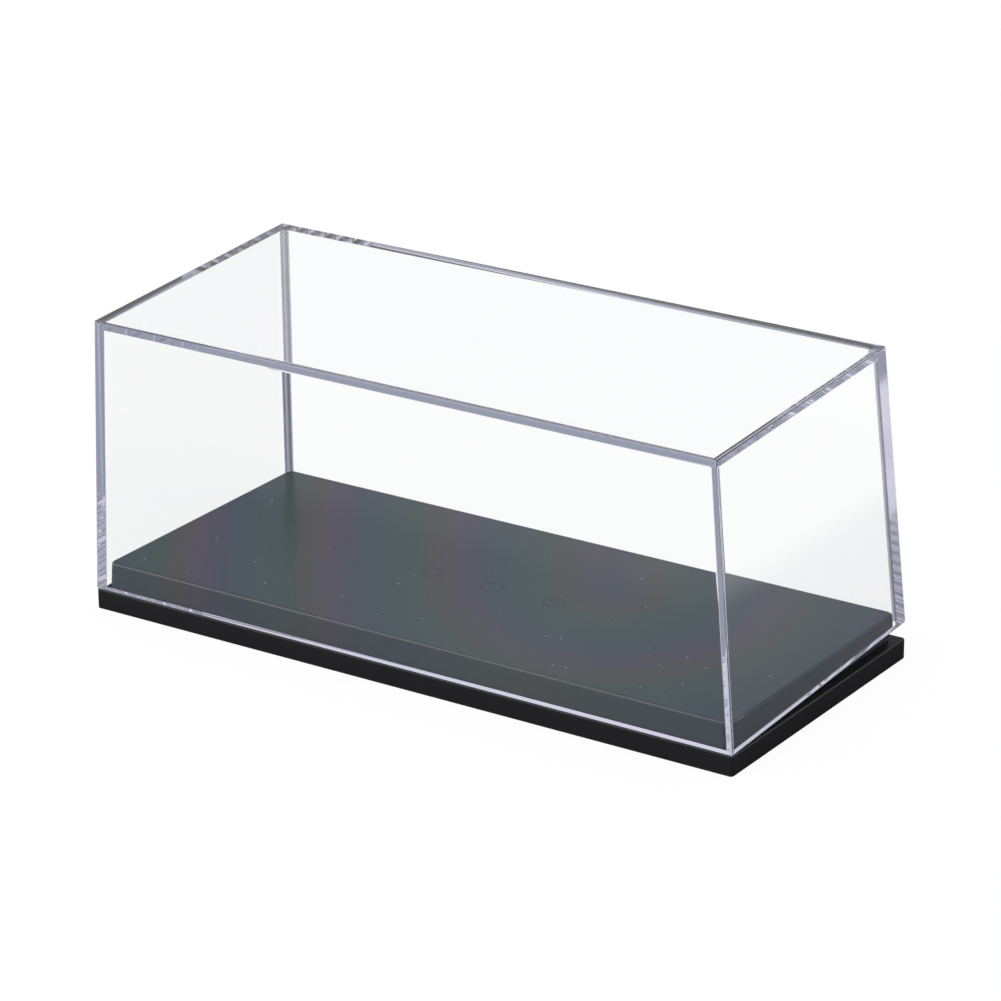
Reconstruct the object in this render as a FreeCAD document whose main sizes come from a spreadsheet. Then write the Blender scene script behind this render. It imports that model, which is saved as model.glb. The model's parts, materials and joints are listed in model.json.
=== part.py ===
import FreeCAD, Part
import os
import Sketcher

doc = FreeCAD.newDocument("display_case")

# Driving sizes, in millimetres and degrees
sizes = (
    ("base_length", 170.0),       # outside of the rim, left to right
    ("base_width", 75.0),         # outside of the rim, front to rear
    ("rim_height", 4.7),          # table to the face that the cover stands on
    ("rim_corner", 0.8),          # upright corners of the rim
    ("rim_edge", 0.4),            # rounding along the top outside edge of the rim
    ("plinth_height", 6.6),       # plinth above the rim
    ("plinth_corner", 1.8),       # upright corners of the plinth
    ("plinth_edge", 0.6),         # rounding around the top of the plinth
    ("base_wall", 2.0),           # wall of the hollow base moulding
    ("boss_diameter", 5.0),       # round pads under the top of the plinth
    ("boss_height", 1.0),         # how far the pads stand down from the top
    ("boss_pitch", 16.7),         # from one pad to the next along the length
    ("cover_height", 66.2),       # bottom edge of the cover to its roof, outside
    ("cover_wall", 2.0),          # side walls of the cover
    ("cover_roof", 2.4),          # roof of the cover
    ("end_taper", 3.85),          # how far each end wall leans in at the roof
    ("side_taper", 2.05),         # how far each long wall leans in at the roof
    ("cover_edge", 0.45),         # rounding along the outside edges of the cover
    ("cavity_edge", 0.3),         # rounding along the inside edges of the cover
    ("rear_bevel", 1.1),          # flat bevel on the two upright inside edges at the rear
    ("lead_in_width", 0.9),       # slope along the inside of the cover's bottom edge, across the wall
    ("lead_in_height", 0.5),      # and up the wall
    ("fit_clearance", 0.35),      # plinth to the inside of the cover, all round
    ("cover_tilt", 2.9),          # cover tipped up about its front bottom edge
)
sheet = doc.addObject("Spreadsheet::Sheet", "dims")
for row, (alias, value) in enumerate(sizes, start=1):
    sheet.set(f"A{row}", alias)
    sheet.set(f"B{row}", str(value))
    sheet.setAlias(f"B{row}", alias)
doc.recompute()

same_level = 1e-4                 # what is closer than this lies on one level
facing_share = 0.99               # a face this square to a direction faces it
boss_count = 3


def value_of(expression):
    return float(sheet.evalExpression(expression))


def ground_plane(body):
    return next(plane for plane in body.Origin.OriginFeatures if plane.Role == "XY_Plane")


# A sketch or a datum plane parallel to the ground
def on_level(body, kind, name, level):
    item = body.newObject(kind, name)
    item.AttachmentSupport = [(ground_plane(body), "")]
    item.MapMode = "FlatFace"
    item.setExpression("AttachmentOffset.Base.z", level)
    return item


# A rectangle about the origin
def rectangle(body, name, level, length, width):
    sketch = on_level(body, "Sketcher::SketchObject", name, level)
    x = value_of(length) / 2
    y = value_of(width) / 2
    corners = ((-x, -y), (x, -y), (x, y), (-x, y))
    sides = range(len(corners))
    front, right, rear, left = sides
    for side in sides:
        begin = FreeCAD.Vector(*corners[side], 0)
        finish = FreeCAD.Vector(*corners[(side + 1) % len(corners)], 0)
        sketch.addGeometry(Part.LineSegment(begin, finish))
    for side in sides:
        sketch.addConstraint(Sketcher.Constraint("Coincident", side, 2, (side + 1) % len(corners), 1))
    for side in (front, rear):
        sketch.addConstraint(Sketcher.Constraint("Horizontal", side))
    for side in (right, left):
        sketch.addConstraint(Sketcher.Constraint("Vertical", side))
    sketch.addConstraint(Sketcher.Constraint("Symmetric", front, 1, rear, 1, -1, 1))
    across = sketch.addConstraint(Sketcher.Constraint("DistanceX", front, 1, front, 2, 2 * x))
    along = sketch.addConstraint(Sketcher.Constraint("DistanceY", right, 1, right, 2, 2 * y))
    sketch.setExpression(f"Constraints[{across}]", length)
    sketch.setExpression(f"Constraints[{along}]", width)
    return sketch


# A row of equal circles along the length, centred on the origin
def circle_row(body, name, level, diameter, pitch, count):
    sketch = on_level(body, "Sketcher::SketchObject", name, level)
    for number in range(count):
        step = number - (count - 1) / 2
        centre = FreeCAD.Vector(step * value_of(pitch), 0, 0)
        circle = Part.Circle(centre, FreeCAD.Vector(0, 0, 1), value_of(diameter) / 2)
        index = sketch.addGeometry(circle)
        radius = sketch.addConstraint(Sketcher.Constraint("Diameter", index, value_of(diameter)))
        place_x = sketch.addConstraint(Sketcher.Constraint("DistanceX", -1, 1, index, 3, centre.x))
        sketch.addConstraint(Sketcher.Constraint("PointOnObject", index, 3, -1))
        sketch.setExpression(f"Constraints[{radius}]", diameter)
        sketch.setExpression(f"Constraints[{place_x}]", f"{step} * {pitch}")
    return sketch


def pad(body, name, sketch, length):
    feature = body.newObject("PartDesign::Pad", name)
    feature.Profile = sketch
    feature.setExpression("Length", length)
    doc.recompute()
    return feature


# Cuts upwards from the sketch and makes sure that something came off
def pocket_up(body, name, sketch, depth):
    before = body.Shape.Volume
    feature = body.newObject("PartDesign::Pocket", name)
    feature.Profile = sketch
    feature.Reversed = True
    feature.setExpression("Length", depth)
    doc.recompute()
    if feature.Shape.Volume >= before:
        raise RuntimeError(f"{name} cut nothing")
    return feature


# Leans in the upright faces of the last feature that stand between two levels and face one way
def lean_faces(body, name, last, levels, facing, neutral, angle):
    foot, head = (value_of(level) for level in levels)
    names = []
    for number, face in enumerate(last.Shape.Faces, start=1):
        heights = [vertex.Z for vertex in face.Vertexes]
        spans = abs(min(heights) - foot) < same_level and abs(max(heights) - head) < same_level
        if spans and abs(face.normalAt(0, 0).dot(facing)) > facing_share:
            names.append(f"Face{number}")
    feature = body.newObject("PartDesign::Draft", name)
    feature.Base = (last, names)
    feature.NeutralPlane = (neutral, [""])
    feature.setExpression("Angle", angle)
    doc.recompute()
    if feature.Shape.Volume >= last.Shape.Volume:
        raise RuntimeError(f"{name} leans out")
    return feature


# A block that stands on the level of its sketch, with its ends and its long sides leaning in
def tapered_block(body, name, sketch, levels, neutral):
    foot, head = levels
    block = pad(body, name, sketch, f"{head} - ({foot})")
    block = lean_faces(body, f"{name}_ends", block, levels, FreeCAD.Vector(1, 0, 0), neutral, end_draft)
    return lean_faces(body, f"{name}_sides", block, levels, FreeCAD.Vector(0, 1, 0), neutral, side_draft)


# Names of the edges whose two ends lie on a pair of levels, at the rear (side 1), the front (-1) or both (0)
def edge_names(last, pairs, side):
    wanted = [sorted(value_of(level) for level in pair) for pair in pairs]
    names = []
    for number, edge in enumerate(last.Shape.Edges, start=1):
        ends = sorted(vertex.Z for vertex in edge.Vertexes)
        if side * edge.CenterOfMass.y < 0:
            continue
        for low, high in wanted:
            if abs(ends[0] - low) < same_level and abs(ends[-1] - high) < same_level:
                names.append(f"Edge{number}")
    return names


def round_edges(body, name, last, pairs, radius, side=0):
    feature = body.newObject("PartDesign::Fillet", name)
    feature.Base = (last, edge_names(last, pairs, side))
    feature.setExpression("Radius", radius)
    doc.recompute()
    return feature


def bevel_edges(body, name, last, pairs, size, side=0):
    feature = body.newObject("PartDesign::Chamfer", name)
    feature.Base = (last, edge_names(last, pairs, side))
    feature.setExpression("Size", size)
    doc.recompute()
    return feature


# Sizes shared by the pieces, and levels within each piece
length = "dims.base_length"
width = "dims.base_width"
table = "0"
rim_top = "dims.rim_height"
plinth_top = "dims.rim_height + dims.plinth_height"
ceiling = f"{plinth_top} - dims.base_wall"
cover_foot = "0"
cover_top = "dims.cover_height"
cavity_top = "dims.cover_height - dims.cover_roof"
fit_inset = "(dims.cover_wall + dims.fit_clearance)"
end_draft = "atan(dims.end_taper / dims.cover_height)"
side_draft = "atan(dims.side_taper / dims.cover_height)"

# Base: a rim with a raised plinth that follows the slope of the cover's inside
base = doc.addObject("PartDesign::Body", "base")
base.Label = "base"
rim_outline = rectangle(base, "rim_outline", table, length, width)
rim = pad(base, "rim", rim_outline, rim_top)
rim = round_edges(base, "rim_corners", rim, [(table, rim_top)], "dims.rim_corner")
rim = round_edges(base, "rim_rounding", rim, [(rim_top, rim_top)], "dims.rim_edge")

plinth_length = f"{length} - 2 * {fit_inset}"
plinth_width = f"{width} - 2 * {fit_inset}"
plinth_foot = rectangle(base, "plinth_foot", rim_top, plinth_length, plinth_width)
rim_level = on_level(base, "PartDesign::Plane", "rim_level", rim_top)
plinth = tapered_block(base, "plinth", plinth_foot, (rim_top, plinth_top), rim_level)
plinth = round_edges(base, "plinth_corners", plinth, [(rim_top, plinth_top)],
                     "dims.plinth_corner")
plinth = round_edges(base, "plinth_rounding", plinth, [(plinth_top, plinth_top)],
                     "dims.plinth_edge")

# Underside: hollow within the rim and, higher, within the plinth
rim_hollow = rectangle(base, "rim_hollow_outline", table, f"{length} - 2 * dims.base_wall",
                       f"{width} - 2 * dims.base_wall")
pocket_up(base, "rim_hollow", rim_hollow, f"{rim_top} - dims.base_wall")
end_lean = "dims.plinth_height * dims.end_taper / dims.cover_height"
side_lean = "dims.plinth_height * dims.side_taper / dims.cover_height"
plinth_hollow = rectangle(base, "plinth_hollow_outline", table,
                          f"{plinth_length} - 2 * {end_lean} - 2 * dims.base_wall",
                          f"{plinth_width} - 2 * {side_lean} - 2 * dims.base_wall")
pocket_up(base, "plinth_hollow", plinth_hollow, ceiling)
boss_row = circle_row(base, "boss_row", f"{ceiling} - dims.boss_height", "dims.boss_diameter",
                      "dims.boss_pitch", boss_count)
pad(base, "bosses", boss_row, "dims.boss_height + dims.base_wall / 2")

# Cover: a tapered block with rounded edges, hollowed by a smaller one that is open below
shell = doc.addObject("PartDesign::Body", "shell")
shell_foot = rectangle(shell, "shell_foot", cover_foot, length, width)
shell_block = tapered_block(shell, "shell_block", shell_foot, (cover_foot, cover_top), ground_plane(shell))
shell_edges = [(cover_foot, cover_foot), (cover_foot, cover_top), (cover_top, cover_top)]
round_edges(shell, "shell_rounding", shell_block, shell_edges, "dims.cover_edge")

cavity = doc.addObject("PartDesign::Body", "cavity")
cavity_foot = rectangle(cavity, "cavity_foot", cover_foot, f"{length} - 2 * dims.cover_wall",
                        f"{width} - 2 * dims.cover_wall")
cavity_block = tapered_block(cavity, "cavity_block", cavity_foot, (cover_foot, cavity_top),
                             ground_plane(cavity))
upright = [(cover_foot, cavity_top)]
roof_line = [(cavity_top, cavity_top)]
front, rear = -1, 1
cavity_block = round_edges(cavity, "cavity_corners", cavity_block, upright, "dims.cavity_edge", front)
cavity_block = bevel_edges(cavity, "cavity_bevel", cavity_block, upright, "dims.rear_bevel", rear)
round_edges(cavity, "cavity_rounding", cavity_block, roof_line, "dims.cavity_edge")

hollow_shell = doc.addObject("Part::Cut", "hollow_shell")
hollow_shell.Base = shell
hollow_shell.Tool = cavity

# The slope at the foot of the inside, cut by a pyramid's foot that lies on its back
lead_in = doc.addObject("Part::Wedge", "lead_in")
lead_in.Placement.Rotation = FreeCAD.Rotation(FreeCAD.Vector(1, 0, 0), 90)
lead_in.setExpression("Ymin", cover_foot)
lead_in.setExpression("Ymax", "2 * dims.lead_in_height")
for side, across in (("X", length), ("Z", width)):
    wide = f"({across} / 2 - dims.cover_wall + dims.lead_in_width)"
    narrow = f"({across} / 2 - dims.cover_wall - dims.lead_in_width)"
    lead_in.setExpression(f"{side}min", f"-{wide}")
    lead_in.setExpression(f"{side}max", wide)
    lead_in.setExpression(f"{side}2min", f"-{narrow}")
    lead_in.setExpression(f"{side}2max", narrow)

cover = doc.addObject("Part::Cut", "cover")
cover.Label = "cover"
cover.Base = hollow_shell
cover.Tool = lead_in

# It stands on the rim along its front bottom edge and is tipped up behind that edge
cover.Placement = FreeCAD.Placement(FreeCAD.Vector(), FreeCAD.Rotation(FreeCAD.Vector(1, 0, 0), 1))
cover.setExpression("Placement.Rotation.Angle", "dims.cover_tilt * 1 deg")
cover.setExpression("Placement.Base.y", "dims.base_width / 2 * (cos(dims.cover_tilt * 1 deg) - 1)")
cover.setExpression("Placement.Base.z",
                    "dims.rim_height + dims.base_width / 2 * sin(dims.cover_tilt * 1 deg)")
doc.recompute()

# Nothing is written unless every object came out sound
for item in doc.Objects:
    if "Invalid" in item.State or "Error" in item.State:
        raise RuntimeError(f"{item.Name} failed")
os.makedirs("parts", exist_ok=True)
for piece in (base, cover):
    if piece.Shape.isNull() or not piece.Shape.isValid():
        raise RuntimeError(f"{piece.Label} has no sound shape")
for piece in (base, cover):
    print(piece.Label, len(piece.Shape.Solids), round(piece.Shape.Volume, 1), piece.Shape.BoundBox)
    piece.Shape.exportStep(f"parts/{piece.Label}.step")
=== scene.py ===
import json
import math

import bmesh
import bpy
from mathutils import Matrix, Vector


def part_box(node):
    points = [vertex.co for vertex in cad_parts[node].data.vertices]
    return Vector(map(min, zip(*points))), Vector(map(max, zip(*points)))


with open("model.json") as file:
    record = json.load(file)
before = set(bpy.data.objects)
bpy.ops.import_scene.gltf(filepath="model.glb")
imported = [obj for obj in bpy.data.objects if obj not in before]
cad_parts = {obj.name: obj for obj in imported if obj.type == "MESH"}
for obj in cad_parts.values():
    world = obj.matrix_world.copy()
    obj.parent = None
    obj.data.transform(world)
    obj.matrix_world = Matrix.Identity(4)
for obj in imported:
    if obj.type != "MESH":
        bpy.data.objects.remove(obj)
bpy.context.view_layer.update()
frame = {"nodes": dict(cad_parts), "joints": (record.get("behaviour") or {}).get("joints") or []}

scene = bpy.context.scene
mm = 0.001                                      # sizes below are in millimetres
hinge = frame["joints"][0]                      # the cover tilts about its front bottom edge
rimTop = hinge["pos_m"][2]


# shader arithmetic: a Wire is one output socket, a Paint is one node tree
class Wire:
    def __init__(self, paint, socket):
        self.paint = paint
        self.socket = socket

    def maths(self, kind, first, second):
        return self.paint.add("ShaderNodeMath", {"operation": kind}, {0: first, 1: second})

    def __add__(self, other):
        return self.maths("ADD", self, other)

    def __sub__(self, other):
        return self.maths("SUBTRACT", self, other)

    def __rsub__(self, other):
        return self.maths("SUBTRACT", other, self)

    def __mul__(self, other):
        return self.maths("MULTIPLY", self, other)

    def __truediv__(self, other):
        return self.maths("DIVIDE", self, other)

    def __gt__(self, other):
        return self.maths("GREATER_THAN", self, other)

    def __lt__(self, other):
        return self.maths("LESS_THAN", self, other)

    def __pow__(self, other):
        return self.maths("POWER", self, other)

    def most(self, other):
        return self.maths("MAXIMUM", self, other)

    def least(self, other):
        return self.maths("MINIMUM", self, other)

    def size(self):
        return self.maths("ABSOLUTE", self, 0)

    def near(self, place, reach):               # 1 at the place, fading to 0 at its reach
        return (1 - (self - place).size() / reach).most(0)

    def repeat(self):                           # the part after the point
        return self.maths("FRACT", self, 0)

    def beside(self, name):                     # another output of the same node
        return Wire(self.paint, self.socket.node.outputs[name])

    __rmul__ = __mul__


class Paint:
    def __init__(self, tree):
        self.tree = tree
        tree.nodes.clear()

    def add(self, kind, settings=None, sockets=None, out=0):
        node = self.tree.nodes.new(kind)
        for key, value in (settings or {}).items():
            if key == "stops":
                ramp = node.color_ramp.elements
                while len(ramp) < len(value):
                    ramp.new(0.5)
                for stop, (place, colour) in zip(ramp, value):
                    stop.position = place
                    stop.color = (*colour, 1)
            else:
                setattr(node, key, value)
        for key, value in (sockets or {}).items():
            if isinstance(value, Wire):
                self.tree.links.new(value.socket, node.inputs[key])
            else:
                node.inputs[key].default_value = value
        return Wire(self, node.outputs[out]) if node.outputs else None

    def blend(self, share, first, second):      # two colours by a share
        mix = {"data_type": "RGBA", "blend_type": "MIX"}
        return self.add("ShaderNodeMix", mix, {0: share, 6: first, 7: second}, 2)

    def ramp(self, stops, value):
        return self.add("ShaderNodeValToRGB", {"stops": stops}, {0: value})

    def where(self):                            # the piece's own coordinates, in metres
        return self.add("ShaderNodeTexCoord", out="Object")

    def axes(self, place):
        split = self.add("ShaderNodeSeparateXYZ", None, {0: place})
        return [split.beside(axis) for axis in "XYZ"]

    def cloud(self, place, size, detail=2.0):   # soft noise from 0 to 1, size in metres
        return self.add("ShaderNodeTexNoise", None, {"Vector": place, "Scale": 1 / size, "Detail": detail})

    def finish(self, shader, output="ShaderNodeOutputMaterial"):
        self.add(output, None, {"Surface": shader})


def newPaint(name, kind=Paint):
    material = bpy.data.materials.new(name)
    material.use_nodes = True
    return material, kind(material.node_tree)


# clear moulded plastic of the cover, frosted on the bevels of its two rear inside corners, which carry a
# painted reflection: a grey-blue tone for the room mirrored inside the thick corners
clearLook = {
    "tint": (0.998, 0.999, 1.0, 1),
    "haze": (0.992, 0.995, 0.998, 1),           # where the clear plastic is a little less clear
    "hazeSize": 40 * mm,
    # painted reflection: the grey-blue tone the thick rear corners show by mirroring the room
    "cornerReflectionTone": (0.15, 0.18, 0.235, 1),
    "frostRoughness": 0.5,
    "frostReach": 1.5 * mm,                     # the frost and its painted reflection run on a little beside the bevels
    "frostSlack": 0.03 * mm,
    "wornRoughness": 0.06,                      # the two rear corners are a little less polished
    "wornReach": 4.0 * mm,
    "wornTop": 58 * mm,                         # up to this height
    "wall": 2.0 * mm,
    "endLean": 3.85 / 66.2,                     # how far the walls lean in, by height
    "sideLean": 2.05 / 66.2,
    "ior": 1.58,
    "mirror": (0.15, 0.15, 0.15, 1),            # how much its faces mirror the room
}


def clearPlastic(look):
    material, paint = newPaint("clear_plastic")
    place = paint.where()
    cloud = paint.cloud(place, look["hazeSize"])
    clear = paint.blend(cloud, look["tint"], look["haze"])

    # how far a point lies inside the end walls and the rear wall, in the cover's own upright directions
    x, y, z = paint.axes(place)
    tilt = math.radians(-hinge["range_deg"][0])
    back = y - hinge["pos_m"][1]
    above = z - hinge["pos_m"][2]
    up = above * math.cos(tilt) - back * math.sin(tilt)
    depth = back * math.cos(tilt) + above * math.sin(tilt)
    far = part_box("base")[1]
    fromEnd = far[0] - look["wall"] - up * look["endLean"] - x.size()
    fromRear = 2 * far[1] - look["wall"] - up * look["sideLean"] - depth
    inside = (fromEnd > -look["frostSlack"]) * (fromRear > -look["frostSlack"])
    # frost on the rear inside bevels, carrying the painted reflection of the room mirrored inside the thick
    # corners
    frostAndReflection = inside * (fromEnd + fromRear < look["frostReach"])
    worn = (fromEnd < look["wornReach"]) * (fromRear < look["wornReach"]) * (up < look["wornTop"])
    shader = paint.add("ShaderNodeBsdfPrincipled", None, {
        "Base Color": paint.blend(frostAndReflection, clear, look["cornerReflectionTone"]),
        "Roughness": (frostAndReflection * look["frostRoughness"]).most(worn * look["wornRoughness"]),
        "IOR": look["ior"],
        "Transmission Weight": 1.0,
        "Specular Tint": look["mirror"],
    })
    paint.finish(shader)
    return material


# black moulded plastic of the base: a painted rainbow sheen, painted light and painted highlights on the
# plinth and rim, dust, and three faint round sink marks darkened with painted shade
blackLook = {
    "rim": (0.014, 0.014, 0.0155, 1),
    "plinthStart": 0.2 * mm,                    # this far above the rim the plinth's look begins
    "topSlack": 0.05 * mm,
    "paintedSheen": (
        (0.0, (0.014, 0.034, 0.044)),
        (0.2, (0.024, 0.027, 0.05)),
        (0.36, (0.049, 0.026, 0.05)),
        (0.52, (0.041, 0.033, 0.026)),
        (0.68, (0.023, 0.041, 0.027)),
        (1.0, (0.014, 0.034, 0.044)),
    ),
    "sheenStart": 29 * mm,
    "sheenCycle": 36 * mm,                      # from one band to the next of its colour
    "sheenAlong": (1.0, 0.7, 33.5 * mm),        # a slanted direction across the bands, and their middle in it
    "sheenAside": (0.27, 0.39, 1.0 * mm),       # the direction along them, and where they begin to bend
    "sheenBend": 2,
    "sheenTurns": 2,                            # whole cycles added, so that the phase is never below 0
    "sheenWarp": 0.25,
    "warpSize": 45 * mm,
    "paintedLight": (0.1, 0.115, 0.11, 1),              # painted light: the plinth is paler to the right of its middle
    "paleShare": 0.3,
    "paleMiddle": 25 * mm,
    "paleReach": 90 * mm,
    "frontPaintedLight": (0.075, 0.082, 0.1, 1),        # painted light on its front too
    "frontShare": 0.5,
    "frontFace": -34.6 * mm,
    "paintedEdgeHighlight": (0.16, 0.155, 0.15, 1),        # painted highlights along the rounded edges of the plinth and the rim
    "edgeFront": -30 * mm,                      # the plinth's painted highlight lies to the front of this
    "plinthLine": (0.25 * mm, 0.2 * mm),        # how far below the top its light line lies, and its reach
    "rimLine": (0.15 * mm, 0.15 * mm),
    "rimLineShare": 0.4,
    # painted shade darkening the sink rings
    "sinkShade": (0.001, 0.001, 0.001, 1),
    "sinkShare": 0.55,
    "sinkCount": 3,
    "sinkPitch": 16.7 * mm,
    "sinkRadius": 2.5 * mm,
    "sinkLine": 0.35 * mm,
    "sinkRoughness": 0.1,
    "dent": {"Strength": 0.2, "Distance": 0.03 * mm},
    "dust": (0.38, 0.39, 0.4, 1),
    "dustPitch": 3.2 * mm,
    "dustShare": 0.055,                         # this share of the pitch squares holds a speck
    "dustDepth": 37.5 * mm,                     # most of them lie to the front, none this far back
    "dustRadius": 0.28 * mm,
    "dustRoughness": 0.4,
    "roughness": 0.3,
    "mottle": 0.03,
    "mottleSize": 2.5 * mm,
    "mottleDetail": 4.0,
    "specular": 0.5,
    "rimSpecular": 0.03,
}


def blackPlastic(look):
    material, paint = newPaint("black_plastic")
    place = paint.where()
    x, y, z = paint.axes(place)
    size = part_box("base")[1]
    onPlinth = z > rimTop + look["plinthStart"]
    onTop = z > size[2] - look["topSlack"]

    # painted sheen: the rainbow of the strained clear cover in reflected light, laid on the plinth; its bands
    # of colour bend around one point, as the strain in the moulding does
    alongX, alongY, middle = look["sheenAlong"]
    along = x * alongX + y * alongY - middle
    asideX, asideY, start = look["sheenAside"]
    aside = (x * asideX - y * asideY - start).most(0) * look["sheenBend"]
    away = (along ** 2 + aside ** 2) ** 0.5
    warp = (paint.cloud(place, look["warpSize"]) - 0.5) * look["sheenWarp"]
    phase = ((away - look["sheenStart"]) / look["sheenCycle"] + warp + look["sheenTurns"]).repeat()
    paintedBands = paint.ramp(look["paintedSheen"], phase)
    # painted light, paler to the right of the plinth's middle
    paintedLight = x.near(look["paleMiddle"], look["paleReach"]) * look["paleShare"]
    colour = paint.blend(onPlinth, look["rim"], paint.blend(paintedLight, paintedBands, look["paintedLight"]))

    # painted light: the front of the plinth is a little paler, and painted highlights make thin light lines
    # where the edges are rounded
    front = onPlinth * (y < look["frontFace"])
    colour = paint.blend(front * look["frontShare"], colour, look["frontPaintedLight"])
    below, reach = look["plinthLine"]
    plinthHighlight = z.near(size[2] - below, reach) * (y < look["edgeFront"])
    below, reach = look["rimLine"]
    rimHighlight = z.near(rimTop - below, reach) * look["rimLineShare"]
    colour = paint.blend(plinthHighlight.most(rimHighlight), colour, look["paintedEdgeHighlight"])

    # sink marks over the pads under the plinth, each measured from the middle of its own pitch: a real dent
    # as a bump and rougher ring, darkened with painted shade
    pitch = look["sinkPitch"]
    sideways = ((x / pitch + 0.5).repeat() - 0.5) * pitch
    ring = ((sideways ** 2 + y ** 2) ** 0.5).near(look["sinkRadius"], look["sinkLine"])
    ring = ring * onTop * (x.size() < pitch * look["sinkCount"] / 2)
    colour = paint.blend(ring * look["sinkShare"], colour, look["sinkShade"])

    # dust
    flat = {"voronoi_dimensions": "2D"}
    cells = paint.add("ShaderNodeTexVoronoi", flat, {"Vector": place, "Scale": 1 / look["dustPitch"]})
    chance = paint.axes(cells.beside("Color"))
    radius = look["dustRadius"] / look["dustPitch"]
    share = (1 - y / look["dustDepth"]) * look["dustShare"]
    speck = (cells < chance[1] * radius) * (chance[0] < share) * onTop
    colour = paint.blend(speck, colour, look["dust"])

    mottle = (paint.cloud(place, look["mottleSize"], look["mottleDetail"]) - 0.5) * look["mottle"]
    marks = speck * look["dustRoughness"] + ring * look["sinkRoughness"]
    sockets = {
        "Base Color": colour,
        "Roughness": mottle + look["roughness"] + marks,
        "Normal": paint.add("ShaderNodeBump", None, {**look["dent"], "Height": 0 - ring}),
    }
    dull = paint.add("ShaderNodeBsdfPrincipled", None, {**sockets, "Specular IOR Level": look["rimSpecular"]})
    shiny = paint.add("ShaderNodeBsdfPrincipled", None, {**sockets, "Specular IOR Level": look["specular"]})
    paint.finish(paint.add("ShaderNodeMixShader", None, {0: onPlinth, 1: dull, 2: shiny}))
    return material


def dress(node, material):
    piece = frame["nodes"][node]
    piece.data.materials.clear()
    piece.data.materials.append(material)


dress("cover", clearPlastic(clearLook))
dress("base", blackPlastic(blackLook))
frame["nodes"]["cover"].visible_shadow = False
print("materials on")

# studio: a white floor and room, with other tones where they are mirrored, and two soft lamps
studio = {
    "floorSize": 6.0,
    "floorColour": (0.95, 0.95, 0.95, 1),
    "shadowShare": 0.06,                        # how much of the floor's own shade the camera sees
    "roomLight": 0.85,
    "white": (1, 1, 1, 1),
    "floorMirrored": ((0.0, (0.1, 0.1, 0.11)), (0.15, (0.2, 0.2, 0.22)), (1.0, (0.36, 0.38, 0.42))),
    "floorNear": (0.08, 0.004),                 # how far out from the base its shade reaches, by X and by Y
    "floorOpen": (0.055, 0.065),                # and from where on the floor is white again, fading in
    "floorFade": 4,
    "floorInWalls": (0.25, 0.275, 0.37, 1),     # the floor after several turns inside a clear wall
    "skyMirrored": (0.95, 0.96, 0.97, 1),
    "skyThroughWall": (0.42, 0.48, 0.56, 1),    # the room mirrored once inside the case
    "skyInWalls": (                             # and after several turns inside a clear wall, by direction
        (0.62, (0.66, 0.65, 0.79)), (0.8, (0.4, 0.4, 0.5)), (0.95, (0.24, 0.25, 0.32)),
    ),
    "skySpread": (0.35, 0.5),                   # from the direction's X plus Y to a place among these tones
    "lamps": (
        {"name": "key", "place": (-0.45, -0.7, 0.7), "size": 0.7, "watts": 7.0},
        {"name": "fill", "place": (0.3, 0.8, 0.8), "size": 0.7, "watts": 3.0},
    ),
    "lampAim": (0, 0, 0.03),
    "turnBounces": 96,                          # light runs far along inside the clear walls
    "throughBounces": 32,
}


class RoomRays(Paint):                          # what a ray meets in the room, by how it got there
    once = 0.5                                  # more mirrorings than this are one or more
    twice = 1.5
    oneWall = 2.5                               # fewer crossings than this are those of one clear wall

    def __init__(self, tree):
        super().__init__(tree)
        camera = self.add("ShaderNodeLightPath", out="Is Camera Ray")
        self.through = camera.beside("Is Transmission Ray")
        self.turns = camera.beside("Glossy Depth")
        self.crossings = camera.beside("Transmission Depth")
        self.seen = (camera + camera.beside("Is Glossy Ray") + self.through).least(1)

    def colour(self, look, mirrored, throughWall, inWalls):
        inside = self.blend(self.turns > self.twice, throughWall, inWalls)
        outside = (1 - self.through) * (self.turns < self.twice)
        turned = self.blend(outside, inside, mirrored)
        return self.blend(self.turns > self.once, look["white"], turned)


def layFloor(look):
    shape = bmesh.new()
    bmesh.ops.create_grid(shape, x_segments=1, y_segments=1, size=look["floorSize"] / 2)
    mesh = bpy.data.meshes.new("floor")
    shape.to_mesh(mesh)
    shape.free()
    floor = bpy.data.objects.new("floor", mesh)
    scene.collection.objects.link(floor)
    material, rays = newPaint("pale_floor", RoomRays)
    x, y = rays.axes(rays.where())[:2]
    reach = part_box("base")[1]
    farX, farY = look["floorNear"]
    # painted shade: as mirrored, the floor is darker close to the base, and white again further out
    outward = ((x - reach[0]) / farX).most((-1 * x - reach[0]) / farX).most((-1 * y - reach[1]) / farY)
    mirrored = rays.ramp(look["floorMirrored"], outward)
    openX, openY = look["floorOpen"]
    clear = ((x.size() - reach[0]) / openX).most((-1 * y - reach[1]) / openY)
    mirrored = rays.blend(((clear - 1) * look["floorFade"]).most(0).least(1), mirrored, look["white"])
    colour = rays.colour(look, mirrored, mirrored, look["floorInWalls"])
    lit = rays.add("ShaderNodeBsdfDiffuse", None, {"Color": look["floorColour"]})
    white = rays.add("ShaderNodeEmission", None, {"Color": colour, "Strength": 1.0})
    share = rays.seen * (1 - look["shadowShare"])
    rays.finish(rays.add("ShaderNodeMixShader", None, {0: share, 1: lit, 2: white}))
    material.cycles.emission_sampling = "NONE"  # only rays that reach it see its tone
    mesh.materials.append(material)


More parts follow.
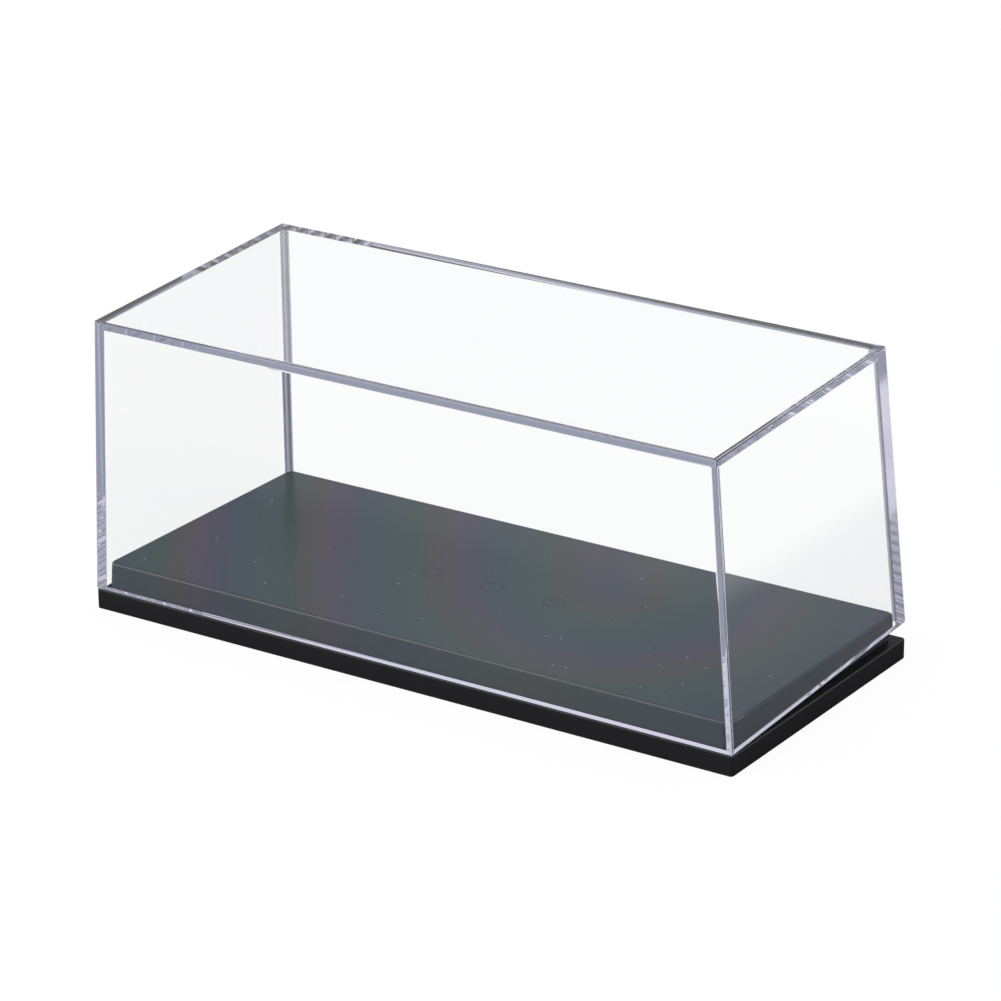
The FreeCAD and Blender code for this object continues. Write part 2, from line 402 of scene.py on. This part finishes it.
def lightRoom(look):
    world = bpy.data.worlds.new("room")
    world.use_nodes = True
    world.cycles.sampling_method = "NONE"
    scene.world = world
    rays = RoomRays(world.node_tree)
    x, y = rays.axes(rays.add("ShaderNodeTexCoord", out="Generated"))[:2]
    spread, middle = look["skySpread"]
    inWalls = rays.ramp(look["skyInWalls"], (x + y) * spread + middle)
    throughWall = rays.blend(rays.crossings < rays.oneWall, look["skyThroughWall"], look["skyMirrored"])
    colour = rays.colour(look, look["skyMirrored"], throughWall, inWalls)
    room = rays.add("ShaderNodeBackground", None, {"Strength": look["roomLight"]})
    backdrop = rays.add("ShaderNodeBackground", None, {"Color": colour, "Strength": 1.0})
    both = rays.add("ShaderNodeMixShader", None, {0: rays.seen, 1: room, 2: backdrop})
    rays.finish(both, "ShaderNodeOutputWorld")


def hangLamp(lamp, target):
    data = bpy.data.lights.new(lamp["name"], "AREA")
    data.shape = "SQUARE"
    data.size = lamp["size"]
    data.energy = lamp["watts"]
    piece = bpy.data.objects.new(lamp["name"], data)
    scene.collection.objects.link(piece)
    piece.location = lamp["place"]
    aim = Vector(target) - piece.location
    piece.rotation_euler = aim.to_track_quat("-Z", "Y").to_euler()
    piece.visible_glossy = False                # the room is what shines in the plastic, not the lamps
    piece.visible_transmission = False


layFloor(studio)
lightRoom(studio)
for lamp in studio["lamps"]:
    hangLamp(lamp, studio["lampAim"])
scene.view_settings.view_transform = "Standard"
scene.cycles.max_bounces = studio["turnBounces"]
scene.cycles.transmission_bounces = studio["throughBounces"]
scene.cycles.glossy_bounces = studio["turnBounces"]
print("studio lit")

# camera, placed by the edges of the case in the photograph
view = {
    "place": (0.50705, -0.74997, 0.38876),
    "azimuth": 33.967,
    "elevation": 21.511,
    "roll": -0.528,
    "lens": 156.33,
    "sensor": 36.0,
    "nearest": 0.01,
}


def setCamera(look):
    data = bpy.data.cameras.new("camera")
    data.lens = look["lens"]
    data.sensor_width = look["sensor"]
    data.clip_start = look["nearest"]
    piece = bpy.data.objects.new("camera", data)
    scene.collection.objects.link(piece)
    turn = Matrix.Rotation(math.radians(look["azimuth"]), 4, "Z")
    nod = Matrix.Rotation(math.radians(90 - look["elevation"]), 4, "X")
    roll = Matrix.Rotation(math.radians(look["roll"]), 4, "Z")
    piece.matrix_world = Matrix.Translation(look["place"]) @ turn @ nod @ roll
    scene.camera = piece


setCamera(view)
print("camera set")
